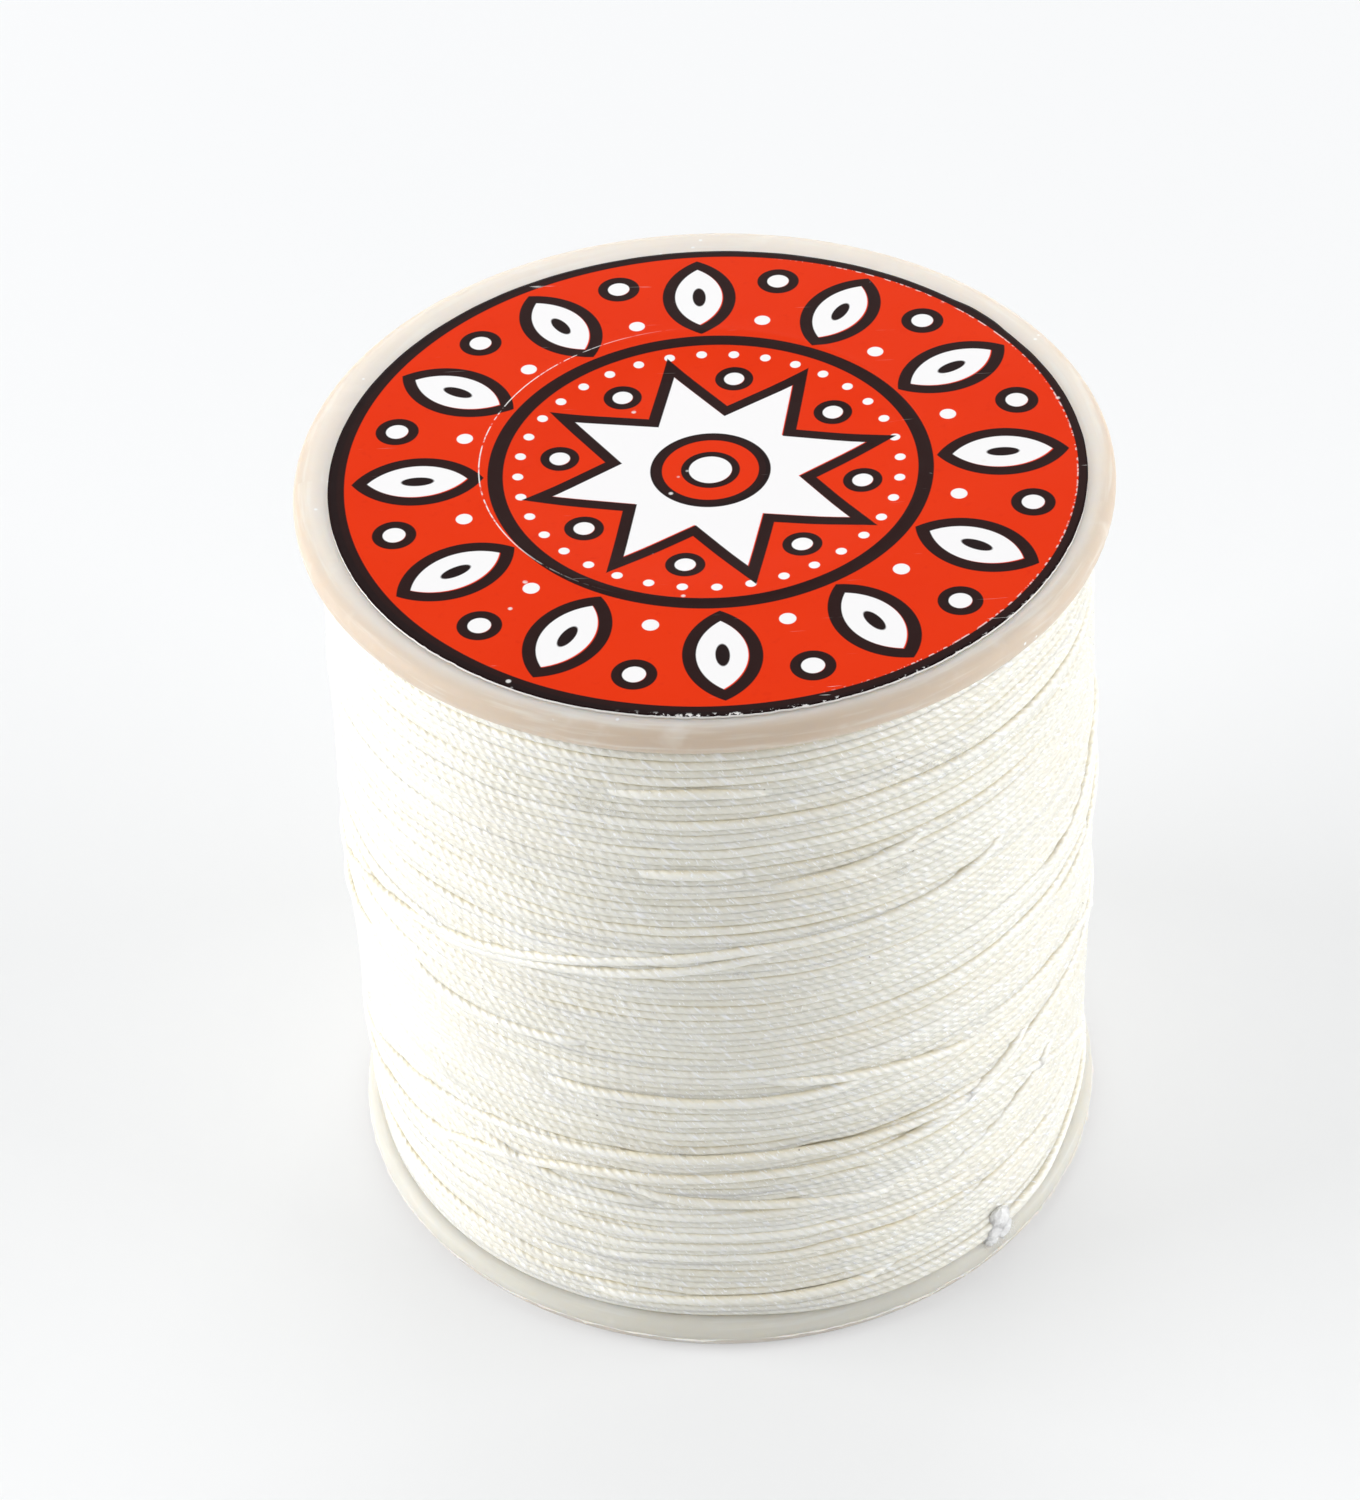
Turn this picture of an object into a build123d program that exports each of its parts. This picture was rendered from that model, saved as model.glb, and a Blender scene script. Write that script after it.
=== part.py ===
from build123d import *
import os
from math import cos, radians, sin, tan

# Waxed linen thread on a two-piece moulded spool, with a paper disc over one end.
# Lengths are millimetres. +Z runs up the spool's axis, and the origin is the centre of
# the lower flange's outer face, on which the spool stands.

# The moulded spool.
flange_diameter = 50.0
spool_height = 53.2
flange_thickness = 2.2      # at the rim
flange_draft = 1.0          # degrees that the inner face rises towards the barrel
outer_corner_radius = 0.9
inner_corner_radius = 1.1
bore_diameter = 26.4
barrel_wall = 1.6
root_radius = 0.6           # between the barrel and the flange
mouth_chamfer = 0.4

# The snap joint between the two halves, a half lap in the barrel wall.
joint_height = 26.6         # outer seam, above the foot
lap_length = 6.0
joint_clearance = 0.05
bead_radius = 0.35
bead_stand_out = 0.2
bead_setback = 2.2          # from the spigot's free end to the bead
lead_in = 0.25
key_count = 3
key_width = 2.4
key_length = 2.0
key_stand_out = 0.35

# The thread and how it is wound.
thread_diameter = 0.57
packing_clearance = 0.05
belly_gap = 0.65            # between the packed turns' fattest place and the flange's edge
belly_height = 18.0
low_taper = 0.2             # how far the packed turns draw in from the belly to the foot
high_taper = 0.75           # and from the belly to the top
shoulder_radius = 0.4
tail_stations = [           # degrees from the front, and share of the spool's height
    (50, 0.703), (0, 0.665), (-42, 0.602), (-66, 0.560), (-85, 0.496), (-140, 0.444),
    (-220, 0.395), (-296, 0.352), (-330, 0.305), (-360, 0.293), (-403, 0.244), (-540, 0.150),
    (-640, 0.075), (-677, 0.055),
]
tail_runs = 26
tail_arc_share = 0.45       # of the shorter run beside a corner, that its arc takes

# The printed disc.
label_margin = 2.0          # bare ring that a centred disc would leave on the flange
label_thickness = 0.2
label_offset = (0.2, -0.9)  # stuck on a little out of centre
label_sag = 0.25            # how far it sinks over the open bore

# Sizes that follow.
flange_radius = flange_diameter / 2
label_radius = flange_radius - label_margin
belly_radius = flange_radius - belly_gap
packing_low_radius = belly_radius - low_taper
packing_high_radius = belly_radius - high_taper
bore_radius = bore_diameter / 2
barrel_radius = bore_radius + barrel_wall
lap_radius = bore_radius + barrel_wall / 2
spigot_end = joint_height + lap_length
bead_height = spigot_end - bead_setback
bead_centre_radius = lap_radius + bead_stand_out - bead_radius
packing_bottom = flange_thickness + packing_clearance
packing_top = spool_height - packing_bottom


def flange_face(radius):
    """Height of a flange's inner face above its outer face."""
    return flange_thickness + (flange_radius - radius) * tan(radians(flange_draft))


def packing_radius(height):
    """Outer radius of the packed turns: a parabola to each side of the belly."""
    if height > belly_height:
        share = (height - belly_height) / (packing_top - belly_height)
        return belly_radius - (belly_radius - packing_high_radius) * share**2
    share = (belly_height - height) / (belly_height - packing_bottom)
    return belly_radius - (belly_radius - packing_low_radius) * share**2


def half_section(step_radius, inner_end, outer_end):
    """Section of one half of the spool, by radius and by height above its outer face.

    The wall's inner layer ends at inner_end and its outer layer at outer_end.
    """
    root = (barrel_radius, flange_face(barrel_radius))
    with BuildSketch() as section:
        with BuildLine():
            Polyline(
                (bore_radius, 0),
                (flange_radius, 0),
                (flange_radius, flange_thickness),
                root,
                (barrel_radius, outer_end),
                (step_radius, outer_end),
                (step_radius, inner_end),
                (bore_radius, inner_end),
                close=True,
            )
        make_face()
        fillet(section.vertices().group_by(Axis.X)[-1].sort_by(Axis.Y)[0], outer_corner_radius)
        fillet(section.vertices().group_by(Axis.X)[-1].sort_by(Axis.Y)[-1], inner_corner_radius)
        fillet(section.vertices().sort_by_distance(root)[0], root_radius)
        chamfer(section.vertices().sort_by_distance((bore_radius, 0))[0], mouth_chamfer)
    return section.sketch


# Lower half: foot flange, barrel and the spigot with its snap bead and keys.
with BuildPart() as lower_half:
    with BuildSketch(Plane.XZ):
        add(half_section(lap_radius, spigot_end, joint_height))
        chamfer(vertices().sort_by_distance((lap_radius, spigot_end))[0], lead_in)
    revolve(axis=Axis.Z)
    with BuildSketch(Plane.XZ):
        with Locations((bead_centre_radius, bead_height)):
            Circle(bead_radius)
    revolve(axis=Axis.Z)
    with BuildSketch(Plane.XY.offset(joint_height)):
        with PolarLocations(lap_radius, key_count):
            Rectangle(2 * key_stand_out, key_width)
    extrude(amount=key_length)
lower_half.part.label = "lower_half"

# Upper half: the same flange turned over, with the socket that the spigot snaps into.
top_down = Plane(origin=(0, 0, spool_height), x_dir=(1, 0, 0), z_dir=(0, 1, 0))
with BuildPart() as upper_half:
    with BuildSketch(top_down):
        socket_floor = spool_height - spigot_end - joint_clearance
        add(half_section(lap_radius + joint_clearance, socket_floor, spool_height - joint_height))
    revolve(axis=Axis.Z)
    with BuildSketch(Plane.XZ):
        with Locations((bead_centre_radius, bead_height)):
            Circle(bead_radius + joint_clearance)
    revolve(axis=Axis.Z, mode=Mode.SUBTRACT)
    with BuildSketch(Plane.XY.offset(joint_height)):
        with PolarLocations(lap_radius, key_count):
            Rectangle(2 * (key_stand_out + joint_clearance), key_width + 2 * joint_clearance)
    extrude(amount=key_length + joint_clearance, mode=Mode.SUBTRACT)
upper_half.part.label = "upper_half"

# The packed turns, as one solid between the flanges and round the barrel.
winding_core_radius = barrel_radius + packing_clearance
core_bottom = flange_face(winding_core_radius) + packing_clearance
with BuildPart() as thread_winding:
    with BuildSketch(Plane.XZ):
        with BuildLine():
            Bezier(
                (packing_low_radius, packing_bottom),
                (belly_radius, (packing_bottom + belly_height) / 2),
                (belly_radius, belly_height),
            )
            Bezier(
                (belly_radius, belly_height),
                (belly_radius, (belly_height + packing_top) / 2),
                (packing_high_radius, packing_top),
            )
            Polyline(
                (packing_high_radius, packing_top),
                (winding_core_radius, spool_height - core_bottom),
                (winding_core_radius, core_bottom),
                (packing_low_radius, packing_bottom),
            )
        make_face()
        fillet(vertices().group_by(Axis.X)[0], root_radius)
        fillet(vertices().sort_by_distance((packing_low_radius, packing_bottom))[0], shoulder_radius)
        fillet(vertices().sort_by_distance((packing_high_radius, packing_top))[0], shoulder_radius)
    revolve(axis=Axis.Z)
thread_winding.part.label = "thread_winding"

# The last turns, loose across the packing, down to the end tucked in at the lower flange.
# The route is drawn flat, as height over angle, laid round the packing as short straight
# runs, and each corner is rounded by the largest tangent arc that its runs allow.
tail_turn = (tail_stations[0][0] - tail_stations[-1][0]) / tail_runs
corner_depth = belly_radius * (1 - cos(radians(tail_turn / 2)))
tail_centre_offset = thread_diameter / 2 + packing_clearance + corner_depth
flat_route = Edge.make_spline([Vector(angle, share * spool_height) for angle, share in tail_stations])
tail_corners = []
for step in range(tail_runs + 1):
    spot = flat_route.position_at(step / tail_runs)
    reach = packing_radius(spot.Y) + tail_centre_offset
    bearing = radians(spot.X)
    tail_corners.append(Vector(reach * sin(bearing), -reach * cos(bearing), spot.Y))
tail_radii = []
for before, corner, after in zip(tail_corners, tail_corners[1:], tail_corners[2:]):
    shorter_run = min((corner - before).length, (after - corner).length)
    half_turn = radians((corner - before).get_angle(after - corner)) / 2
    tail_radii.append(tail_arc_share * shorter_run / tan(half_turn))
print("tail radii", round(min(tail_radii), 1), "to", round(max(tail_radii), 1))
with BuildPart() as thread_tail:
    with BuildLine() as tail_route:
        FilletPolyline(*tail_corners, radius=tail_radii)
    with BuildSketch(Plane(tail_route.line @ 0, z_dir=tail_route.line % 0)):
        Circle(thread_diameter / 2)
    sweep()
thread_tail.part.label = "thread_tail"

# The printed disc: stuck flat on the upper flange, a little out of centre, and sunk
# slightly where nothing carries it over the bore.
label_bottom = spool_height
label_top = spool_height + label_thickness
sag_run = bore_radius / 2
widest = label_radius + Vector(*label_offset).length
with BuildPart() as label_disc:
    with BuildSketch(Plane.XZ):
        with BuildLine():
            upper = Polyline((widest, label_bottom), (widest, label_top), (bore_radius, label_top))
            Bezier(
                upper @ 1,
                (bore_radius - sag_run / 2, label_top),
                (bore_radius - sag_run / 2, label_top - label_sag),
                (bore_radius - sag_run, label_top - label_sag),
            )
            Polyline(
                (bore_radius - sag_run, label_top - label_sag),
                (0, label_top - label_sag),
                (0, label_bottom - label_sag),
                (bore_radius - sag_run, label_bottom - label_sag),
            )
            Bezier(
                (bore_radius - sag_run, label_bottom - label_sag),
                (bore_radius - sag_run / 2, label_bottom - label_sag),
                (bore_radius - sag_run / 2, label_bottom),
                (bore_radius, label_bottom),
            )
            Line((bore_radius, label_bottom), (widest, label_bottom))
        make_face()
    revolve(axis=Axis.Z)
    with BuildSketch(Plane.XY.offset(label_bottom - label_sag)):
        with Locations(label_offset):
            Circle(label_radius)
    extrude(amount=label_sag + label_thickness, mode=Mode.INTERSECT)
label_disc.part.label = "label_disc"

os.makedirs("parts", exist_ok=True)
for piece in (lower_half, upper_half, thread_winding, thread_tail, label_disc):
    export_step(piece.part, f"parts/{piece.part.label}.step")
    print(piece.part.label, round(piece.part.volume, 1), piece.part.bounding_box())
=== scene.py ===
import math
import random
from functools import partialmethod

import bmesh
import bpy
from mathutils import Matrix, Vector, noise


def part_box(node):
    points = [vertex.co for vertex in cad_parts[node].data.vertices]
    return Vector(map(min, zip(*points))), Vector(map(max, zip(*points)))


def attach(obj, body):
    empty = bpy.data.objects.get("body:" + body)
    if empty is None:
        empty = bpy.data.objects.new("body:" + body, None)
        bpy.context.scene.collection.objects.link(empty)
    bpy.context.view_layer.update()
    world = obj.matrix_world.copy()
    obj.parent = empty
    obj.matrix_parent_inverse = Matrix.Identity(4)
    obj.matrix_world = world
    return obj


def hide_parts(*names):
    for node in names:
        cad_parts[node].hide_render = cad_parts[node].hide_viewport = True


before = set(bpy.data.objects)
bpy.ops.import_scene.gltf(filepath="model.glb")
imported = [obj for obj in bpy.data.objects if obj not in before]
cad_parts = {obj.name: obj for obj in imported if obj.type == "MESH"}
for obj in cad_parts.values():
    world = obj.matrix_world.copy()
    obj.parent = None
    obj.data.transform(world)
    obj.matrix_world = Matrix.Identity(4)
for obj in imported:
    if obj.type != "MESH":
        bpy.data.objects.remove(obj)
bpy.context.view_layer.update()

# ----------
# The spool: two flanged halves injection-moulded in natural polypropylene, which
# is milky, slightly warm and a little see-through. Each was drawn from its mould
# along the axis, and they snap together inside the barrel.

MM = 0.001


class Wire:
    """A socket of a node tree on which ordinary arithmetic can be written."""

    def __init__(self, tree, socket):
        self.tree = tree
        self.socket = socket

    def reckon(self, operation, *others):
        maker = self.tree.nodes.new("ShaderNodeMath")
        maker.operation = operation
        for socket, value in zip(maker.inputs, (self, *others)):
            plug(self.tree, value, socket)
        return Wire(self.tree, maker.outputs[0])

    __add__ = __radd__ = partialmethod(reckon, "ADD")
    __sub__ = partialmethod(reckon, "SUBTRACT")
    __mul__ = __rmul__ = partialmethod(reckon, "MULTIPLY")
    __truediv__ = partialmethod(reckon, "DIVIDE")
    __pow__ = partialmethod(reckon, "POWER")
    at_least = partialmethod(reckon, "MAXIMUM")
    at_most = partialmethod(reckon, "MINIMUM")
    size = partialmethod(reckon, "ABSOLUTE")
    sin = partialmethod(reckon, "SINE")
    cos = partialmethod(reckon, "COSINE")
    arctan2 = partialmethod(reckon, "ARCTAN2")
    folded = partialmethod(reckon, "PINGPONG")

    def __rsub__(self, other):
        return (self * -1.0) + other

    def ramp(self, start, end):
        """0 before start, 1 past end, eased between them."""
        return wire(self.tree, "ShaderNodeMapRange", "Result", {"interpolation_type": "SMOOTHSTEP"},
                    Value=self, From_Min=start, From_Max=end)


def plug(tree, value, socket):
    """Sets a socket from a wire or from a plain value."""
    if isinstance(value, Wire):
        tree.links.new(value.socket, socket)
    else:
        socket.default_value = value


def fill(tree, maker, inputs):
    """Sets a node's sockets, by their names or numbers."""
    for name, value in inputs.items():
        plug(tree, value, maker.inputs[name])
    return maker


def adjust(thing, **settings):
    for name, value in settings.items():
        setattr(thing, name, value)
    return thing


def add_node(tree, kind, settings=None, inputs=None):
    return fill(tree, adjust(tree.nodes.new(kind), **(settings or {})), inputs or {})


def wire(tree, kind, output, settings=None, **inputs):
    """Adds a node and gives one of its outputs. Underscores in input names are spaces."""
    named = {name.replace("_", " "): value for name, value in inputs.items()}
    return Wire(tree, add_node(tree, kind, settings, named).outputs[output])


def clouds(place, scale, detail=2.0, roughness=0.5):
    """Noise from 0 to 1, with scale in features per metre."""
    return wire(place.tree, "ShaderNodeTexNoise", "Fac", Vector=place, Scale=scale,
                Detail=detail, Roughness=roughness)


def vector(tree, x, y, z):
    return wire(tree, "ShaderNodeCombineXYZ", 0, X=x, Y=y, Z=z)


def split(place):
    """The X, Y and Z of a place, as wires."""
    maker = add_node(place.tree, "ShaderNodeSeparateXYZ", inputs={0: place})
    return [Wire(place.tree, maker.outputs[axis]) for axis in "XYZ"]


def hypotenuse(a, b):
    return (a * a + b * b) ** 0.5


def tinted(tree, colour, *layers):
    """A colour with tints laid over it in turn, each given as a share and a tint."""
    for share, tint in layers:
        mixer = add_node(tree, "ShaderNodeMix", {"data_type": "RGBA"})
        factor, under, over = mixer.inputs[0], mixer.inputs[6], mixer.inputs[7]
        for value, socket in ((share, factor), (colour, under), (tint, over)):
            plug(tree, (*value, 1.0) if isinstance(value, tuple) else value, socket)
        colour = Wire(tree, mixer.outputs[2])
    return colour


def new_material(name):
    """A new material: gives it, its tree, its shader and the place on the object."""
    material = bpy.data.materials.new(name)
    material.use_nodes = True
    tree = material.node_tree
    place = wire(tree, "ShaderNodeTexCoord", "Object")
    return material, tree, tree.nodes["Principled BSDF"], place


def bump(height, distance, strength=1.0):
    return wire(height.tree, "ShaderNodeBump", "Normal", Height=height, Distance=distance,
                Strength=strength)


def new_group(kind, name, inputs, outputs):
    """A node group with named sockets: gives it, its inputs as wires and its last node."""
    tree = bpy.data.node_groups.new(name, kind + "NodeTree")
    for way, sockets in (("INPUT", inputs), ("OUTPUT", outputs)):
        for label, socket in sockets.items():
            tree.interface.new_socket(label, in_out=way, socket_type="NodeSocket" + socket)
    entry = tree.nodes.new("NodeGroupInput")
    leave = tree.nodes.new("NodeGroupOutput")
    return tree, {label: Wire(tree, entry.outputs[label]) for label in inputs}, leave


def dust_group():
    """Group: fine specks on a surface, as a mask. The plastic, the thread and the label print use
    it.
    """
    tree, given, leave = new_group(
        "Shader", "settled_dust", {"Place": "Vector", "Amount": "Float", "Speck Scale": "Float"},
        {"Mask": "Float"})
    place, amount, scale = given.values()
    nearness = 1.0 - wire(tree, "ShaderNodeTexVoronoi", "Distance", Vector=place, Scale=scale)
    chosen = clouds(place, scale * 0.43, detail=0.0)
    speck = nearness.ramp(0.86, 0.93) * chosen.ramp(0.72 - amount, 0.76 - amount)
    plug(tree, speck, leave.inputs["Mask"])
    return tree


settled_dust = dust_group()


def dust(place, amount, scale):
    return wire(place.tree, "ShaderNodeGroup", "Mask", {"node_tree": settled_dust}, Place=place,
                Amount=amount, Speck_Scale=scale)


def natural_polypropylene(name, paling, clearness, depth):
    """Paling is how far a thin place turns to white, and depth how far light creeps in it."""
    material, tree, shader, place = new_material(name)
    x, y, height = split(place)
    reach = hypotenuse(x, y)
    milk = clouds(place, 95.0, detail=3.0)
    at_rim = reach.ramp(23.8 * MM, 24.9 * MM)
    # Painted shade: the foot's rim wall below the flash, next to the table, is darkened and warmed.
    painted_shade_under_flash = at_rim * (1.0 - height.ramp(0.75 * MM, 1.00 * MM))
    rim_tone = tinted(tree, (0.60, 0.49, 0.395), (milk, (0.66, 0.56, 0.465)))
    # The head's pinker tone is painted red light from the label on it. The foot's greyer, darker
    # tone is painted shade with bounce light from the thread. The colour changes from one to the
    # other with height.
    red_lit_head_tone = tinted(tree, (0.77, 0.705, 0.64), (milk, (0.83, 0.775, 0.72)), (at_rim, rim_tone))
    shaded_foot_tone = tinted(tree, (0.68, 0.65, 0.57), (milk, (0.75, 0.725, 0.655)),
                       (painted_shade_under_flash * 0.8, (0.66, 0.57, 0.50)))
    around = vector(tree, reach, y.arctan2(x) * 0.0016, height)
    drag = clouds(around, 2400.0, detail=3.0)
    flow = clouds(place, 330.0, detail=3.0, roughness=0.6)
    colour = tinted(
        tree, shaded_foot_tone,
        (height.ramp(10.0 * MM, 45.0 * MM), red_lit_head_tone),
        (drag.ramp(0.50, 0.72) * 0.35, (0.86, 0.85, 0.81)),
        (flow.ramp(0.56, 0.76) * 0.30, (0.90, 0.87, 0.82)),
        (paling, (0.95, 0.93, 0.90)),
        (dust(place, 0.10, 900.0), (0.93, 0.93, 0.92)))
    rub = clouds(place, 420.0, detail=4.0, roughness=0.65)
    relief = clouds(place, 2600.0, detail=2.0) + rub * 3.0 + drag * 1.5
    fill(tree, shader, {
        "Base Color": colour, "Roughness": rub * 0.22 + 0.42, "Specular IOR Level": 0.30,
        "Subsurface Weight": 0.9, "Subsurface Radius": (1.0, 0.85, 0.65),
        "Subsurface Scale": depth, "Transmission Weight": clearness, "IOR": 1.49,
        "Normal": bump(relief, 0.02 * MM, 0.35)})
    return material


for half, clearness in (("lower_half", 0.15), ("upper_half", 0.10)):
    plastic = natural_polypropylene("natural_polypropylene_" + half, 0.0, clearness, 3.0 * MM)
    for material_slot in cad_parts[half].material_slots:
        material_slot.material = plastic

# ----------
# Moulding flash: a thin, torn feather of plastic left where the two sides of the
# mould met, at the widest line of the foot flange. It was never trimmed off.

foot_low, foot_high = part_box("lower_half")
flange_radius = foot_high.x
parting_height = 0.95 * MM
flash_reach = 0.20 * MM
flash_half_height = 0.07 * MM
flash_root_depth = 0.09 * MM
flash_steps = 900
worst_tear = math.radians(32)


def add_object(name, data):
    piece = bpy.data.objects.new(name, data)
    bpy.context.scene.collection.objects.link(piece)
    return piece


def plain_mesh(name, shape):
    """A mesh from a bmesh, with its faces pointing outwards."""
    bmesh.ops.recalc_face_normals(shape, faces=shape.faces)
    mesh = bpy.data.meshes.new(name)
    shape.to_mesh(mesh)
    shape.free()
    return mesh


def finish_mesh(name, shape, material, smooth=True):
    """Turns a bmesh into an object of the scene."""
    mesh = plain_mesh(name, shape)
    if smooth:
        mesh.shade_smooth()
    mesh.materials.append(material)
    return add_object(name, mesh)


def ring_point(radius, height, angle):
    """A place by its angle from the spool's front, turning towards +X."""
    return Vector((radius * math.sin(angle), -radius * math.cos(angle), height))


def bridge(shape, first, second):
    """Joins one closed loop of corners to the next, and gives the faces."""
    faces = []
    for step, corner in enumerate(first):
        after = (step + 1) % len(first)
        faces.append(shape.faces.new((corner, first[after], second[after], second[step])))
    return faces


def flash_ridge():
    """A low triangular ridge round the rim, ragged in reach and in height."""
    shape = bmesh.new()
    rows = []
    for step in range(flash_steps):
        angle = math.tau * step / flash_steps
        spot = ring_point(1.0, 0.0, angle)
        ragged = 0.5 + 0.5 * noise.noise(spot * 23.0)
        torn = 0.5 + 0.5 * noise.noise(spot * 95.0 + Vector((3, 1, 4)))
        worst = math.exp(-(math.remainder(angle - worst_tear, math.tau) / 0.75) ** 2)
        reach = flash_reach * max(0.10, ragged * 1.3 - 0.45 + worst * 0.35) * (0.35 + torn * 1.3)
        tip = parting_height + 0.12 * MM * noise.noise(spot * 12.0 + Vector((7, 0, 2)))
        tip += 0.10 * MM * noise.noise(spot * 42.0) * worst
        edge = ring_point(flange_radius + reach, tip, angle)
        edge.x = max(foot_low.x, min(foot_high.x, edge.x))
        edge.y = max(foot_low.y, min(foot_high.y, edge.y))
        below, above = (ring_point(flange_radius - flash_root_depth, tip + rise, angle)
                        for rise in (-flash_half_height, flash_half_height))
        rows.append([shape.verts.new(corner) for corner in (below, edge, above)])
    for row, following in zip(rows, rows[1:] + rows[:1]):
        bridge(shape, row, following)
    thin_plastic = natural_polypropylene("thin_polypropylene", 0.70, 0.0, 0.05 * MM)
    return finish_mesh("moulding_flash", shape, thin_plastic, smooth=False)


flash = flash_ridge()
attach(flash, "root")

# ----------
# The imported thread: three-ply linen, twisted, glazed with wax and wound on in near
# level turns, each lying against the last. The core is the turns underneath, painted in a
# darker, warmer cream as shade, and it shows only as a line where two outer turns
# stand apart.

winding_low, winding_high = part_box("thread_winding")
winding_bottom, winding_top = winding_low.z, winding_high.z
belly_radius = winding_high.x
belly_height = 18.0 * MM
low_radius = belly_radius - 0.20 * MM
high_radius = belly_radius - 0.75 * MM
turn_width = 0.66 * MM
lay_length = 2.25 * MM
ring_length = 0.33 * MM
thread_sides = 10
turn_count = 88
winding_pieces = 6
rings_per_turn = round(math.tau * (belly_radius - 0.5 * MM) / ring_length)
# The lowest turns have slipped outwards, most of all at this angle.
slip_angle = math.radians(34)
slip_height = 2.4 * MM


def waxed_linen():
    """Bleached linen under wax: three plies in a twist, with painted warm cream shade down in the
    grooves.
    """
    material, tree, shader, place = new_material("waxed_linen")

    def kept(name, output):
        return wire(tree, "ShaderNodeAttribute", output, {"attribute_name": name})

    across, about, along = split(kept("yarn", "Vector"))
    turned = about.arctan2(across) - along * (math.tau / lay_length)
    crown = (turned * 3.0).cos() * 0.5 + 0.5
    # Painted shade: the sides of each turn, which show in the grooves between turns, are tinted
    # warm cream.
    painted_groove_shade = 1.0 - kept("facing", "Fac").ramp(0.15, 0.80)

    def along_yarn(stretch):
        """Place on the thread, following its twist, drawn out along it by a share."""
        return vector(tree, turned.cos() * (turn_width / 2), turned.sin() * (turn_width / 2),
                      along * stretch)

    strand_tone = clouds(along_yarn(0.5), 60.0, detail=3.0)
    patch_place = wire(tree, "ShaderNodeMapping", "Vector", Vector=place, Scale=(1.0, 1.0, 2.6))
    broad_tone = clouds(patch_place, 95.0, detail=3.0)
    # Painted light and shade: turns that stand proud are lighter, and sunken or diving ones darker,
    # mixed with a random tone along the strand.
    tone = kept("lift_light_and_shade", "Fac") * 0.65 + strand_tone.ramp(0.3, 0.7) * 0.35
    fibres = clouds(along_yarn(0.14), 1500.0, detail=4.0, roughness=0.7)
    glints = clouds(along_yarn(0.30), 2600.0).ramp(0.52, 0.72)
    # Painted highlights: tiny white flecks standing in for glints of light.
    painted_glint_flecks = clouds(along_yarn(0.7), 5600.0, detail=1.0).ramp(0.66, 0.70)
    fine = clouds(place, 5200.0, detail=3.0)
    colour = tinted(
        tree, (0.75, 0.73, 0.64),
        (tone, (0.94, 0.93, 0.865)),
        (broad_tone.ramp(0.42, 0.66) * 0.55, (0.80, 0.765, 0.67)),
        # Painted shade: warm cream in the grooves between turns.
        (painted_groove_shade * 0.75, (0.84, 0.77, 0.60)),
        # Painted shade in the valleys between the three plies.
        ((1.0 - crown) * 0.14, (0.72, 0.68, 0.58)),
        (fibres.ramp(0.56, 0.76) * 0.40, (0.70, 0.67, 0.58)),
        # Painted highlights: white glints laid on the ply crowns, where the wax catches the lamps.
        (glints * (crown * 0.6 + 0.3), (0.99, 0.99, 0.98)),
        # Painted highlights: the white flecks.
        (painted_glint_flecks * 0.9, (1.0, 1.0, 0.99)),
        (dust(place, -0.02, 1700.0) * 0.8, (0.30, 0.25, 0.18)))
    relief = fibres * 0.5 + fine * 0.35 + crown * 0.95 + glints * 0.25
    fill(tree, shader, {
        "Base Color": colour, "Roughness": fibres * 0.30 + 0.28 - glints * 0.16,
        "Specular IOR Level": 0.65, "Subsurface Weight": 0.5,
        "Subsurface Radius": (1.0, 0.95, 0.8), "Subsurface Scale": 0.45 * MM,
        "Normal": bump(relief, 0.045 * MM)})
    return material


linen = waxed_linen()


packing_sizes = {
    "Bottom": winding_bottom, "Top": winding_top, "Belly Height": belly_height,
    "Belly Radius": belly_radius, "Low Radius": low_radius, "High Radius": high_radius,
}


def packing_surface():
    """Group: the radius of the packing at an angle and a height, with its unevenness."""
    tree, given, leave = new_group(
        "Geometry", "packing_surface", dict.fromkeys(("Angle", "Height", *packing_sizes), "Float"),
        {"Radius": "Float", "Drift": "Float"})
    angle, height, bottom, top, belly_at, belly, low, high = given.values()
    above = ((height - belly_at) / (top - belly_at)).at_least(0.0)
    below = ((belly_at - height) / (belly_at - bottom)).at_least(0.0)
    outline = belly - (belly - high) * above * above - (belly - low) * below * below
    edge = (height - bottom).at_most(top - height)
    shoulder = 1.0 - (top - height).ramp(0.0, 2.2 * MM)
    outline = outline - shoulder * shoulder * 0.30 * MM
    slipped = 1.0 - (height - bottom).ramp(0.0, slip_height)
    right_front = (angle - slip_angle).cos().ramp(0.80, 0.99)
    outline = outline + slipped * (right_front * 0.65 + 0.05) * MM

    def uneven(stretch, scale, detail):
        spot = vector(tree, angle.sin() * belly, angle.cos() * belly, height * stretch)
        return (clouds(spot, scale, detail=detail) - 0.5) * 2.0

    calm = edge.ramp(0.2 * MM, 3.0 * MM)
    looseness = 1.0 - height.ramp(bottom + 14.0 * MM, bottom + 22.0 * MM)
    fill(tree, leave, {
        "Radius": outline + uneven(1.6, 110.0, 1.0) * calm * 0.16 * MM,
        "Drift": uneven(2.5, 85.0, 2.0) * calm * (looseness * 0.75 * MM + 0.32 * MM)})
    return tree


surface_group = packing_surface()


def on_packing(angle, height):
    """Radius and drift of the packing at a place, as two wires."""
    group = add_node(angle.tree, "GeometryNodeGroup", {"node_tree": surface_group},
                     {**packing_sizes, "Angle": angle, "Height": height})
    return [Wire(angle.tree, group.outputs[label]) for label in ("Radius", "Drift")]


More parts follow.
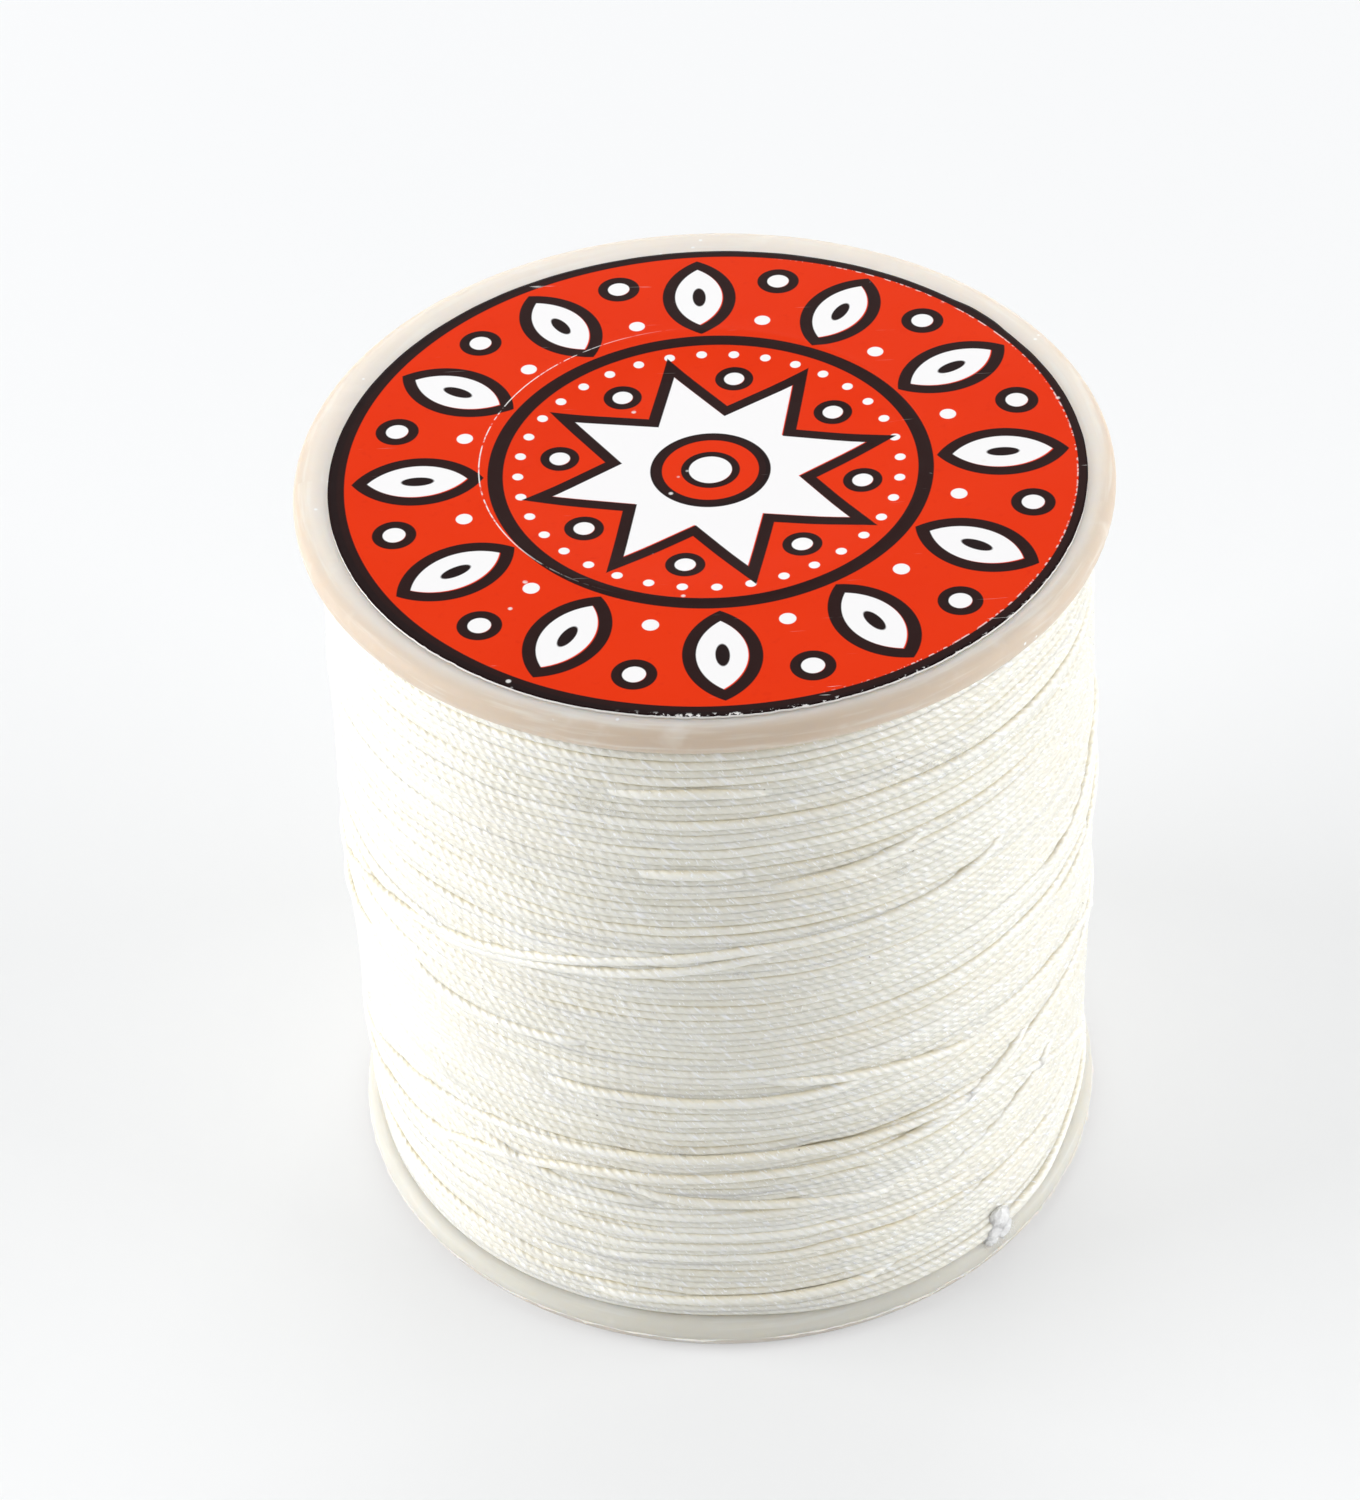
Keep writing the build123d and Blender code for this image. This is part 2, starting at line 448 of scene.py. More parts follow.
def wound(curve, angle, reach, height):
    """Moves a curve's points to their angles, reaches and heights about the axis."""
    place = vector(curve.tree, angle.sin() * reach, angle.cos() * reach * -1.0, height)
    return wire(curve.tree, "GeometryNodeSetPosition", "Geometry", Geometry=curve,
                Position=place)


def store(geometry, name, value, kind="FLOAT"):
    return wire(geometry.tree, "GeometryNodeStoreNamedAttribute", "Geometry",
                {"data_type": kind, "domain": "POINT"}, Geometry=geometry, Name=name, Value=value)


def spool_reach(tree):
    """Distance of each point from the spool's axis."""
    x, y, _ = split(wire(tree, "GeometryNodeInputPosition", "Position"))
    return hypotenuse(x, y)


def geometry_group(name, counts, sizes, base="Geometry"):
    """A group with one geometry coming in, by its name, and whole numbers and sizes."""
    inputs = {base: "Geometry", **dict.fromkeys(counts, "Int"), **dict.fromkeys(sizes, "Float")}
    return new_group("Geometry", name, inputs, {"Geometry": "Geometry"})


def round_thread():
    """Group: a round thread along a curve, with the place on it kept for its finish."""
    tree, given, leave = geometry_group("round_thread", ["Sides"], ["Diameter", "Slub", "Seed"],
                                        "Curve")
    length = wire(tree, "GeometryNodeSplineParameter", "Length")
    curve = store(given["Curve"], "along", length)
    curve = store(curve, "centre_reach", spool_reach(tree))
    curve = wire(tree, "GeometryNodeSetCurveNormal", 0, {"mode": "Z_UP"}, Curve=curve)
    ring = wire(tree, "GeometryNodeCurvePrimitiveCircle", "Curve", Resolution=given["Sides"],
                Radius=given["Diameter"] * 0.5)
    side = wire(tree, "GeometryNodeInputIndex", "Index") * math.tau / given["Sides"]
    ring = store(ring, "across", side.cos())
    ring = store(ring, "about", side.sin())
    lump = clouds(vector(tree, length, given["Seed"], 0.0), 240.0)
    body = wire(tree, "GeometryNodeCurveToMesh", "Mesh", Curve=curve, Profile_Curve=ring,
                Scale=1.0 + (lump - 0.5) * given["Slub"], Fill_Caps=True)
    kept = {name: wire(tree, "GeometryNodeInputNamedAttribute", "Attribute",
                       {"data_type": "FLOAT"}, Name=name)
            for name in ("across", "about", "along", "centre_reach")}
    yarn = vector(tree, kept["across"], kept["about"], kept["along"])
    body = store(body, "yarn", yarn, "FLOAT_VECTOR")
    facing = (spool_reach(tree) - kept["centre_reach"]) / (given["Diameter"] * 0.5)
    body = store(body, "facing", facing)
    for spent in kept:
        body = wire(tree, "GeometryNodeRemoveAttribute", "Geometry", Geometry=body, Name=spent)
    body = wire(tree, "GeometryNodeSetShadeSmooth", "Geometry", Geometry=body)
    plug(tree, body, leave.inputs["Geometry"])
    return tree


thread_group = round_thread()


def finish_tree(tree, geometry, material, leave):
    """Every tree ends the same way: real geometry, with its material on it."""
    solid = wire(tree, "GeometryNodeRealizeInstances", "Geometry", Geometry=geometry)
    dressed = wire(tree, "GeometryNodeSetMaterial", "Geometry", Geometry=solid, Material=material)
    plug(tree, dressed, leave.inputs["Geometry"])


def lay_thread(curve, slub, seed):
    return wire(curve.tree, "GeometryNodeGroup", "Geometry", {"node_tree": thread_group},
                Curve=curve, Diameter=turn_width, Sides=thread_sides, Slub=slub, Seed=seed)


def packed_turns():
    """Tree: a run of the wound helix, whose first and last turns lie level on the flanges."""
    tree, given, leave = geometry_group("packed_turns", ["First Ring", "Ring Count"], [
        "Rings per Turn", "Pitch", "Lowest Turn", "Highest Turn", "Unevenness", "Sway", "Slub"])
    line = wire(tree, "GeometryNodeMeshLine", "Mesh", Count=given["Ring Count"])
    curve = wire(tree, "GeometryNodeMeshToCurve", "Curve", Mesh=line)
    index = wire(tree, "GeometryNodeInputIndex", "Index")
    turns = (index + given["First Ring"]) / given["Rings per Turn"] - 1.0
    angle = turns * math.tau + math.pi
    level = turns * given["Pitch"] + given["Lowest Turn"]
    level = level.at_least(given["Lowest Turn"]).at_most(given["Highest Turn"])
    radius, drift = on_packing(angle, level)
    unrolled = vector(tree, turns * 0.11, 0.0, 0.0)
    jitter = clouds(unrolled, 18.0) - 0.5
    sway = clouds(unrolled, 23.0, detail=3.0) - 0.5
    # Painted light and shade on each turn: lighter where it stands proud, darker where it sinks.
    curve = store(curve, "lift_light_and_shade", (jitter + drift * 60.0).ramp(-0.10, 0.20))
    reach = radius - turn_width / 2 + jitter * given["Unevenness"]
    reach = reach.at_most(flange_radius - turn_width * 0.56)
    curve = wound(curve, angle, reach, level + drift + sway * given["Sway"])
    finish_tree(tree, lay_thread(curve, given["Slub"], 0.0), linen, leave)
    return tree


def made_by(name, tree, values, base=None):
    """Runs a tree over a base mesh and keeps the result as a plain mesh object."""
    seed = add_object(name + "_seed", base or bpy.data.meshes.new(name + "_seed"))
    maker = seed.modifiers.new("maker", "NODES")
    maker.node_group = tree
    for item in tree.interface.items_tree:
        if item.in_out == "INPUT" and item.name in values:
            maker[item.identifier] = values[item.name]
    bpy.context.view_layer.update()
    evaluated = seed.evaluated_get(bpy.context.evaluated_depsgraph_get())
    mesh = bpy.data.meshes.new_from_object(evaluated)
    mesh.name = name
    bpy.data.objects.remove(seed)
    return add_object(name, mesh)


helix_bottom = winding_bottom + turn_width / 2
helix_top = winding_top - turn_width / 2
thread_pitch = (helix_top - helix_bottom) / turn_count
# One more turn lies level on each flange.
ring_total = (turn_count + 2) * rings_per_turn
turns_tree = packed_turns()
for number in range(winding_pieces):
    first_ring = number * ring_total // winding_pieces
    last_ring = (number + 1) * ring_total // winding_pieces
    layer = made_by(f"packed_turns_{number + 1}", turns_tree, {
        "First Ring": first_ring, "Ring Count": last_ring - first_ring + 1,
        "Rings per Turn": float(rings_per_turn), "Pitch": thread_pitch,
        "Lowest Turn": helix_bottom, "Highest Turn": helix_top, "Unevenness": 0.85 * MM,
        "Sway": 0.95 * MM, "Slub": 0.14})
    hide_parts("thread_winding")
    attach(layer, "root")


def packing_radius(height):
    """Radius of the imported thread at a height, without its unevenness."""
    above = max(0.0, (height - belly_height) / (winding_top - belly_height))
    below = max(0.0, (belly_height - height) / (belly_height - winding_bottom))
    return (belly_radius - (belly_radius - high_radius) * above ** 2
            - (belly_radius - low_radius) * below ** 2)


def packing_shell(inset, inner_radius, levels=60, segments=180):
    """A lathed ring of packing: its outer face lies inset from the outer turns."""
    shape = bmesh.new()
    rows = []
    for level in range(levels + 1):
        height = winding_bottom + (winding_top - winding_bottom) * level / levels
        edge = min(height - winding_bottom, winding_top - height)
        shoulder = max(0.0, 1.0 - edge / (1.5 * MM)) * 0.9 * MM * (inset > 0)
        rows.append((packing_radius(height) - inset - shoulder, height))
    rows += [(inner_radius, winding_top), (inner_radius, winding_bottom)]
    rings = [[shape.verts.new(ring_point(radius, height, math.tau * step / segments))
              for step in range(segments)] for radius, height in rows]
    for ring, above in zip(rings, rings[1:] + rings[:1]):
        bridge(shape, ring, above)
    return shape


def shaded_buried_linen():
    """The turns underneath: the same thread, painted a darker, warmer cream as shade, seen only as
    bands between the turns.
    """
    material, tree, shader, place = new_material("shaded_buried_linen")
    tone = clouds(place, 300.0, detail=3.0)
    # Painted shade: the core is a darker, warmer cream than the thread, and it is painted lighter
    # on the ridges of its banded relief.
    band_relief_and_shade = (split(place)[2] * (math.tau / thread_pitch)).sin() * 0.5 + 0.5
    colour = tinted(tree, (0.80, 0.73, 0.55), (tone, (0.87, 0.81, 0.66)),
                    (band_relief_and_shade * 0.4, (0.88, 0.85, 0.76)))
    fill(tree, shader, {"Base Color": colour, "Roughness": 0.6,
                        "Normal": bump(band_relief_and_shade + tone * 0.4, 0.1 * MM, 0.8)})
    return material


barrel_radius = 14.8 * MM
core_inset = 0.40 * MM
core = finish_mesh("inner_turns", packing_shell(core_inset, barrel_radius), shaded_buried_linen())
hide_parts("thread_winding")
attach(core, "root")

# ----------
# Loose turns: lengths of the same thread that were wound slack, so they ride over
# their neighbours at a slant before they dive back under the packing.

# Each route is a list of angles from the front, in degrees, heights, in mm, and, where
# it isn't nought, how far the thread rides above its usual reach there, in mm.
loose_routes = [
    [(13, 35.0), (6, 34.6), (-3, 33.9), (-13, 33.2), (-28, 32.2), (-42, 31.0), (-54, 30.0)],
    [(-34, 22.3), (-17, 22.4), (-5, 22.3), (12, 22.3), (25, 22.7)],
    [(-2, 24.4), (13, 23.4), (27, 22.4), (45, 20.8)],
    [(33, 22.7, -0.1), (50, 22.2, -0.1), (62, 21.6, -0.1), (72, 20.2, -0.1), (92, 15.2)],
    [(-92, 8.8), (-75, 12.5), (-60, 14.8), (-42, 16.2), (-10, 17.2), (20, 17.2), (46, 16.4)],
    [(-22, 14.6), (-8, 13.5), (10, 12.6), (30, 11.2)],
    [(-35, 11.8), (-15, 11.9), (5, 12.1), (22, 12.2)],
    [(-34, 10.2), (-8, 10.1), (15, 10.0), (45, 9.2)],
    [(42, 16.2, -0.1), (50, 14.7, -0.1), (60, 12.6, -0.1), (70, 10.4, -0.1), (82, 6.2)],
    [(-30, 3.4), (-12, 3.8), (0, 3.9), (15, 4.0), (28, 4.3)],
    [(-22, 46.9), (-3, 47.4), (12, 46.7)],
    [(-18, 40.8), (-5, 41.2), (8, 40.8)],
    [(-1, 39.6), (9, 39.9), (20, 40.2), (36, 41.3)],
    [(-48, 15.2), (-34, 13.9), (-21, 13.1), (-8, 12.8)],
    [(16, 15.1, -0.1), (32, 16.2, -0.1), (45, 17.6, -0.1), (58, 19.6, -0.1)],
    [(24, 10.2, -0.1), (40, 11.7, -0.1), (54, 13.6, -0.1), (66, 16.0, -0.1)],
    [(24, 6.1, -0.1), (34, 6.8, -0.1), (50, 7.4, -0.1), (72, 6.4, -0.1)],
    [(-60, 26.6), (-44, 25.9), (-28, 26.1), (-16, 26.6)],
    [(48, 30.2), (62, 31.4), (78, 33.6), (96, 36.4)],
    [(52, 26.8), (66, 27.2), (84, 29.2), (104, 32.0), (130, 33.6)],
    [(-60, 24.8), (-80, 23.6), (-104, 21.2), (-128, 20.4)],
    [(100, 24.6), (126, 21.8), (152, 20.2), (178, 20.6)],
    [(118, 9.2), (146, 12.6), (176, 14.4), (206, 13.6), (236, 10.4)],
    [(150, 29.8), (178, 31.6), (206, 32.0), (228, 30.4)],
    [(196, 41.2), (222, 40.0), (250, 40.6)],
    [(134, 44.8), (160, 44.2), (186, 44.9)],
    [(216, 25.6), (240, 27.2), (262, 27.0)],
    [(170, 6.4), (200, 5.4), (228, 6.2)],
]
ride_height = -0.09 * MM
dive_depth = 0.62 * MM
dive_length = 5.0 * MM


def flat_route(name, routes):
    """Routes as open lines on the packing unrolled flat: X round it, Y out, Z up it."""
    mesh = bpy.data.meshes.new(name)
    places, links = [], []
    for route in routes:
        for step, (angle, height, *ride) in enumerate(route):
            if step:
                links.append((len(places) - 1, len(places)))
            places.append((math.radians(angle) * belly_radius, sum(ride) * MM, height * MM))
    mesh.from_pydata(places, links, [])
    return mesh


def riding_thread():
    """Tree: threads that ride over the packing along flat routes and dive at their ends."""
    tree, given, leave = geometry_group("riding_thread", [], [
        "Ring Length", "Ride Height", "Dive Depth", "Dive Length", "End Dive", "Slub", "Seed"])
    curve = wire(tree, "GeometryNodeMeshToCurve", "Curve", Mesh=given["Geometry"])
    curve = wire(tree, "GeometryNodeCurveSplineType", "Curve", {"spline_type": "CATMULL_ROM"},
                 Curve=curve)
    curve = wire(tree, "GeometryNodeResampleCurve", "Curve", {"mode": "LENGTH"}, Curve=curve,
                 Length=given["Ring Length"])
    unrolled, ride, height = split(wire(tree, "GeometryNodeInputPosition", "Position"))
    angle = unrolled / belly_radius
    start = wire(tree, "GeometryNodeSplineParameter", "Length")
    finish = wire(tree, "GeometryNodeSplineLength", "Length") - start
    length = given["Dive Length"]
    dive = (1.0 - start.ramp(0.0, length)) + (1.0 - finish.ramp(0.0, length)) * given["End Dive"]
    radius, _ = on_packing(angle, height)
    spread = clouds(vector(tree, angle * 3.0, height * 200.0, given["Seed"]), 2.2)
    reach = radius - turn_width / 2 + given["Ride Height"] + ride + spread * 0.12 * MM
    reach = reach - dive * given["Dive Depth"]
    # Painted shade: the thread darkens where it dives under the packing.
    curve = wound(store(curve, "lift_light_and_shade", 1.0 - dive * 0.7), angle, reach, height)
    finish_tree(tree, lay_thread(curve, given["Slub"], given["Seed"]), linen, leave)
    return tree


riding_tree = riding_thread()
riding_sizes = {
    "Ring Length": ring_length, "Ride Height": ride_height + turn_width / 2,
    "Dive Depth": dive_depth, "Dive Length": dive_length, "Slub": 0.18}
loose = made_by("loose_turns", riding_tree, {**riding_sizes, "End Dive": 1.0, "Seed": 3.0},
                flat_route("loose_turns_route", loose_routes))
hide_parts("thread_winding")
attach(loose, "root")

# ----------
# The tail: the last two turns of the thread. They wander down the front, round the
# back and down again, and the cut end is poked in at the foot flange.

tail_route = [
    (50, 37.4), (31, 35.8), (8, 35.2), (-3, 34.8), (-18, 33.8), (-38, 31.8), (-66, 29.4),
    (-85, 26.4), (-140, 23.6), (-220, 21.0), (-296, 18.7, -0.1), (-318, 16.6, -0.12),
    (-335, 15.8), (-360, 15.6), (-383, 15.0), (-403, 13.0), (-418, 11.2), (-470, 9.8),
    (-540, 8.0), (-600, 5.6), (-640, 3.8), (-677, 2.9),
]
tail = made_by("thread_tail_strand", riding_tree, {**riding_sizes, "End Dive": 0.25, "Seed": 11.0},
               flat_route("tail_route", [tail_route]))
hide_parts("thread_tail")
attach(tail, "root")

# ----------
# Lint and fray: short bleached fibres that stand off the thread everywhere, a few
# nubs of tangled fibre, and the teased-out brush of the cut end.

lint_radius = 0.0156 * MM
strand_radius = 0.0096 * MM
strand_steps = 9


def loose_fibre(name, softness):
    """Bleached fibre, glossy on its own and soft and deep where it is matted."""
    material, tree, shader, place = new_material(name)
    tone = clouds(place, 900.0)
    strands = wire(tree, "ShaderNodeMapping", "Vector", Vector=place,
                   Rotation=(0.5, 0.4, 0.3), Scale=(4200.0, 4200.0, 900.0))
    strands = clouds(strands, 1.0, detail=4.0, roughness=0.65)
    fill(tree, shader, {
        "Base Color": tinted(tree, (0.96, 0.96, 0.95), (tone, (1.0, 1.0, 0.99))),
        "Roughness": tone * 0.2 + 0.25 + softness * 0.3,
        "Specular IOR Level": 1.0 - softness * 0.5, "Subsurface Weight": softness * 0.6,
        "Subsurface Radius": (1.0, 1.0, 0.97), "Subsurface Scale": 0.8 * MM,
        "Sheen Weight": softness, "Sheen Roughness": 0.6,
        "Normal": bump(strands, 0.03 * MM * softness, 0.6)})
    return material


fibre_finish = loose_fibre("loose_fibre", 0.0)
matted_finish = loose_fibre("matted_fibre", 1.0)


def lint_tree():
    """Tree: curved fibres scattered over a surface, each laid nearly flat on it."""
    tree, given, leave = geometry_group("standing_lint", ["Seed"], [
        "Density", "Fibre Length", "Fibre Radius", "Curl"])
    scatter = add_node(tree, "GeometryNodeDistributePointsOnFaces", inputs={
        "Mesh": given["Geometry"], "Density": given["Density"], "Seed": given["Seed"]})
    long = given["Fibre Length"]
    bow = wire(tree, "GeometryNodeCurveQuadraticBezier", 0, Resolution=4,
               Start=vector(tree, long * -0.5, 0.0, long * -0.05),
               Middle=vector(tree, 0.0, long * 0.3, long * 0.42),
               End=vector(tree, long * 0.5, 0.0, long * 0.12))
    ring = wire(tree, "GeometryNodeCurvePrimitiveCircle", "Curve", Resolution=3,
                Radius=given["Fibre Radius"])
    fibre = wire(tree, "GeometryNodeCurveToMesh", "Mesh", Curve=bow, Profile_Curve=ring,
                 Scale=1.0, Fill_Caps=True)
    spin = wire(tree, "FunctionNodeRandomValue", 0, {"data_type": "FLOAT_VECTOR"}, Seed=5,
                Min=(-0.25, -0.25, 0.0), Max=(0.25, 0.25, math.tau))
    size = add_node(tree, "FunctionNodeRandomValue", {"data_type": "FLOAT"},
                    {"Seed": 9, 2: 0.3, 3: 1.3})
    facing = add_node(tree, "FunctionNodeRotateRotation", {"rotation_space": "LOCAL"},
                      {0: Wire(tree, scatter.outputs["Rotation"]), 1: spin})
    laid = wire(tree, "GeometryNodeInstanceOnPoints", "Instances",
                Points=Wire(tree, scatter.outputs["Points"]), Instance=fibre,
                Rotation=Wire(tree, facing.outputs[0]), Scale=Wire(tree, size.outputs[1]))
    laid = wire(tree, "GeometryNodeRealizeInstances", "Geometry", Geometry=laid)
    twirl = wire(tree, "ShaderNodeTexNoise", "Color", Scale=900.0, Detail=1.0)
    shift = add_node(tree, "ShaderNodeVectorMath", {"operation": "SUBTRACT"},
                     {0: twirl, 1: (0.5, 0.5, 0.5)})
    grown = wire(tree, "ShaderNodeVectorMath", 0, {"operation": "SCALE"},
                 Vector=Wire(tree, shift.outputs[0]), Scale=given["Curl"])
    laid = wire(tree, "GeometryNodeSetPosition", "Geometry", Geometry=laid, Offset=grown)
    finish_tree(tree, laid, fibre_finish, leave)
    return tree


lint_surface = plain_mesh("lint_surface", packing_shell(-0.01 * MM, barrel_radius + 9.0 * MM))
lint = made_by("lint_fibres", lint_tree(), {
    "Density": 60000.0, "Fibre Length": 0.38 * MM, "Fibre Radius": lint_radius,
    "Curl": 0.35 * MM, "Seed": 4}, lint_surface)
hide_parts("thread_winding")
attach(lint, "root")


def any_way(luck):
    return Vector((luck.gauss(0, 1), luck.gauss(0, 1), luck.gauss(0, 1)))


def add_fibre(shape, start, heading, length, luck, curl):
    """Grows one tapering three-sided fibre that wanders as it goes."""
    place = start.copy()
    heading = heading.normalized()
    last = None
    for step in range(strand_steps + 1):
        side = heading.orthogonal().normalized()
        other = heading.cross(side)
        thick = strand_radius * (1.0 - 0.75 * step / strand_steps)
        ring = [shape.verts.new(place + (side * math.cos(turn) + other * math.sin(turn)) * thick)
                for turn in (0.0, math.tau / 3, 2 * math.tau / 3)]
        if last:
            bridge(shape, last, ring)
        else:
            shape.faces.new(ring[::-1])
        last = ring
        heading = (heading + any_way(luck) * curl).normalized()
        place = place + heading * (length / strand_steps)
    shape.faces.new(last)


def axes_at(turn):
    """Outwards, round the spool and up, at an angle from the front."""
    return (ring_point(1.0, 0.0, turn), ring_point(1.0, 0.0, turn + math.pi / 2),
            Vector((0, 0, 1)))


def fibre_clump(shape, angle, height, count, length, spread, stand, lean, seed):
    """A clump of fibres on the packing, all starting close together.

    Stand is how far they stand off the thread, and lean how far they go round with it.
    """
    luck = random.Random(seed)
    turn = math.radians(angle)
    out, round_it, up = axes_at(turn)
    centre = ring_point(packing_radius(height * MM) - 0.05 * MM, height * MM, turn)
    for number in range(count):
        start = centre + round_it * luck.gauss(0, spread) + up * luck.gauss(0, spread * 0.6)
        heading = (out * luck.uniform(0.1, 0.9) * stand + round_it * luck.gauss(lean, 0.8)
                   + up * luck.gauss(0, 0.7))
        add_fibre(shape, start, heading, length * luck.uniform(0.35, 1.0), luck, 0.42)


def cotton_ball(shape, angle, height, out, size, count, seed):
    """A matted lump of fibre with loose strands curling over it."""
    luck = random.Random(seed)
    turn = math.radians(angle)
    centre = ring_point(packing_radius(height * MM) + out * MM, height * MM, turn)

    def lump_surface(ball):
        lump = 0.92 + 0.14 * noise.noise(ball * 1.8 + Vector((seed, 0, 0)))
        lump += 0.07 * noise.noise(ball * 5.0 + Vector((0, seed, 0)))
        lump += 0.06 * noise.noise(ball * 13.0 + Vector((0, 0, seed)))
        spot = centre.copy()
        for axis, reach, half in zip(axes_at(turn), ball, size):
            spot += axis * (reach * lump * half * MM)
        return spot

    made = bmesh.ops.create_icosphere(shape, subdivisions=5, radius=1.0)
    for vert in made["verts"]:
        vert.co = lump_surface(vert.co.copy())
    for number in range(count):
        ball = any_way(luck).normalized()
        away = (lump_surface(ball) - centre).normalized()
        across = away.cross(any_way(luck))
        add_fibre(shape, lump_surface(ball), across.normalized() + away * luck.uniform(0, 0.7),
                  luck.uniform(0.4, 1.1) * MM, luck, 0.45)


# Angle, height in mm, number of fibres, their length and spread in mm.
nubs = [
    (-9, 17.9, 50, 0.7, 0.36), (8.7, 15.8, 50, 0.7, 0.40), (-19, 18.8, 34, 0.6, 0.28),
    (1, 33.2, 34, 0.8, 0.26), (3, 33.0, 16, 0.9, 0.16), (-20, 46.0, 40, 0.9, 0.42),
    (-16, 45.8, 60, 0.9, 0.50), (-11, 46.2, 30, 0.7, 0.36), (26, 38.6, 30, 0.8, 0.36),
    (25, 46.2, 50, 0.9, 0.50), (31, 45.8, 50, 0.9, 0.45), (36, 45.7, 50, 0.9, 0.42),
    (41, 45.9, 30, 0.8, 0.34), (-36, 13.4, 34, 0.7, 0.32), (-33, 12.4, 30, 0.7, 0.30),
    (-48, 21.0, 12, 0.8, 0.30), (58, 12.8, 14, 0.9, 0.30), (112, 30.0, 26, 0.8, 0.34),
    (150, 18.0, 40, 0.8, 0.38), (188, 36.0, 30, 0.8, 0.40), (214, 9.0, 26, 0.8, 0.34),
    (246, 27.0, 26, 0.8, 0.30), (284, 15.0, 24, 0.8, 0.30),
]
nub_shape = bmesh.new()
for number, (angle, height, count, length, spread) in enumerate(nubs):
    fibre_clump(nub_shape, angle, height, count, length * MM, spread * MM, 0.6, 0.0, 40 + number)
nub_piece = finish_mesh("lint_nubs", nub_shape, fibre_finish)
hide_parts("thread_winding")
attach(nub_piece, "root")

# Angle, height and stand-out in mm, and half sizes in mm out, round and up.
tuft_lumps = [
    (44.0, 3.0, 0.32, (0.55, 1.00, 1.10)), (44.4, 2.2, 0.45, (0.55, 0.90, 0.75)),
    (42.6, 2.5, 0.38, (0.55, 0.95, 0.75)), (41.9, 1.9, 0.45, (0.45, 0.75, 0.45)),
]
fray_shape = bmesh.new()
for number, (angle, height, out, size) in enumerate(tuft_lumps):
    cotton_ball(fray_shape, angle, height, out, size, 110, 3 + number)
fibre_clump(fray_shape, 43.6, 3.3, 24, 1.8 * MM, 0.60 * MM, 1.2, 0.1, 7)
fray = finish_mesh("frayed_end", fray_shape, matted_finish)
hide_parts("thread_tail")
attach(fray, "root")

# ----------
# The label: a die-cut disc of varnished paper, printed in black and red and stuck on
# by hand, a little towards the front. It has sunk slightly into the open bore.

label_low, label_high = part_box("label_disc")
label_centre = Vector(((label_low.x + label_high.x) / 2, (label_low.y + label_high.y) / 2, 0.0))
label_radius = (label_high.x - label_low.x) / 2
label_top = label_high.z
paper_thickness = 0.2 * MM
label_sag = 0.25 * MM
bore_radius = 13.2 * MM
label_segments = 540
cut_step = math.radians(129)

# The printed design, in mm from the middle of the print: how far out each motif stands,
# how large it is, and how many go round.
print_shift = (0.22, 0.10)
petal_count = 12
petal_length = 3.45
petal_width = 1.85
petal_reach = 17.75
bead_reach, bead_radius = 19.75, 0.95
grain_reach, grain_radius = 15.35, 0.50
star_points = 8
star_tip = 10.6
star_notch = 5.9
stud_reach, stud_radius = 9.3, 0.85
pearl_count, pearl_reach, pearl_radius = 36, 11.6, 0.33
eye_radius = 3.2
band_radius = 13.05
border_radius = 22.2


def eased(share):
    share = min(1.0, max(0.0, share))
    return share * share * (3 - 2 * share)


def label_height(spot):
    """Top of the paper: level on the flange, sunk over the bore, creased at its edge."""
    reach = math.hypot(spot.x, spot.y)
    sunk = eased((bore_radius + 0.2 * MM - reach) / (5.0 * MM))
    crease = math.exp(-((reach - bore_radius - 0.25 * MM) / (0.22 * MM)) ** 2)
    cockle = noise.noise(spot * 130.0) * 0.035 * MM
    raised = crease * 0.03 * MM + cockle * (1 - sunk * 0.4) - 0.03 * MM
    return label_top + min(raised, 0.0) - label_sag * sunk


def label_edge(angle):
    """Radius of the cut edge: clean round the back, torn at the front."""
    spot = ring_point(1.0, 0.0, angle)
    front = eased((0.35 - spot.y) / 0.9 - 0.45)
    rough = noise.noise(spot * 60.0) * 0.6 + noise.noise(spot * 150.0) * 0.5
    torn = max(0.0, rough) * front * 0.14 * MM
    step = math.exp(-((angle - cut_step) / math.radians(5)) ** 4) * 0.16 * MM
    return label_radius - 0.02 * MM - torn + step + noise.noise(spot * 14.0) * 0.02 * MM


def any_of(mask, *others):
    for other in others:
        mask = mask.at_least(other)
    return mask


